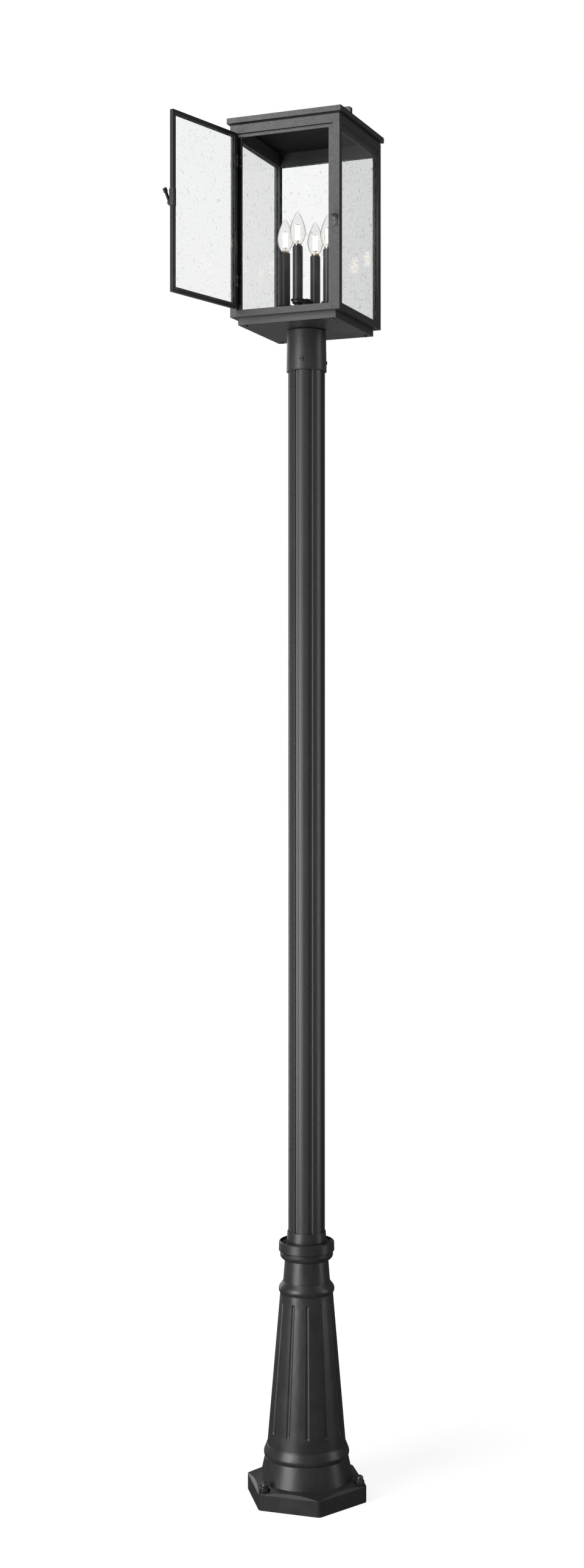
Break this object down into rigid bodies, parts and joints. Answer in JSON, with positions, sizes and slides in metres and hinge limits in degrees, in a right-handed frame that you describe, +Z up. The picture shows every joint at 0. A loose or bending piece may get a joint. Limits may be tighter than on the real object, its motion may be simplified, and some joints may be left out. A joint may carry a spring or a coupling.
{
  "type": "post top lantern",
  "caption": "Square glazed lantern with a hinged door, latch and candle lamps, on a fluted round post with a flared, fluted bolt-down base.",
  "frame": {"origin": "on the post's axis at the ground, at the centre of the anchor bolt circle", "axes": "+X to the right along the lantern's door side, +Y back from the door side, +Z up along the post"},
  "size_m": [0.2949, 0.4602, 2.8625],
  "materials": {
    "black_casting": "black textured powder coat",
    "black_sheet": "black powder coat",
    "black_steel": "blackened",
    "bright_steel": "satin",
    "pane_glass": "clear with small seeds",
    "bulb_glass": "clear, thin",
    "lamp_brass": "polished",
    "filament": "warm, lit",
    "black_plastic": "matt",
    "gasket_rubber": "matt"
  },
  "bodies": {
    "lantern": {"base_casting": "black_casting", "anchor_washers": "black_steel", "anchor_nuts": "black_steel", "post_collar": "black_casting", "collar_screws": "black_steel", "post_shaft": "black_casting", "fitter_collar": "black_casting", "fitter_set_screws": "black_steel", "bottom_pan": "black_sheet", "pan_screws": "black_steel", "floor_plate": "black_sheet", "through_nipple": "bright_steel", "nipple_nuts": "black_steel", "corner_posts": "black_casting", "sill_rails": "black_casting", "top_rails": "black_casting", "door_stops": "black_casting", "header_frame": "black_casting", "header_screws": "black_steel", "ceiling_plate": "black_sheet", "roof_gasket": "gasket_rubber", "roof_cap": "black_casting", "roof_screws": "black_steel", "roof_handle": "black_casting", "handle_screws": "black_steel", "glass_left": "pane_glass", "glass_right": "pane_glass", "glass_back": "pane_glass", "hinge_fixed_leaves": "black_sheet", "hinge_pins": "black_steel", "hinge_post_screws": "bright_steel", "latch_keeper": "black_sheet", "keeper_screws": "black_steel", "candle_hub": "black_casting", "hub_cap": "black_casting", "candle_arms": "black_casting", "drip_cups": "black_casting", "socket_supports": "black_casting", "candle_sleeves": "black_casting", "lamp_holders": "black_plastic", "bulb_bases": "lamp_brass", "bulb_glass": "bulb_glass", "bulb_stems": "bulb_glass", "bulb_filaments": "filament"},
    "door": {"door_frame": "black_casting", "glass_door": "pane_glass", "door_bead": "black_casting", "hinge_moving_leaves": "black_sheet", "hinge_door_screws": "bright_steel", "latch_clip": "black_sheet", "latch_pivot": "black_steel"},
    "latch": {"latch_lever": "black_sheet"}
  },
  "joints": [
    {"name": "door_hinge", "type": "hinge", "parent": "lantern", "child": "door", "pos_m": [-0.1039, -0.1222, 2.6175], "axis": [0, 0, 1], "range_deg": [-46, 104]},
    {"name": "latch_pivot", "type": "hinge", "parent": "door", "child": "latch", "pos_m": [-0.15893, -0.31605, 2.615], "axis": [-0.9703, 0.2419, 0], "range_deg": [-58, 58]}
  ]
}
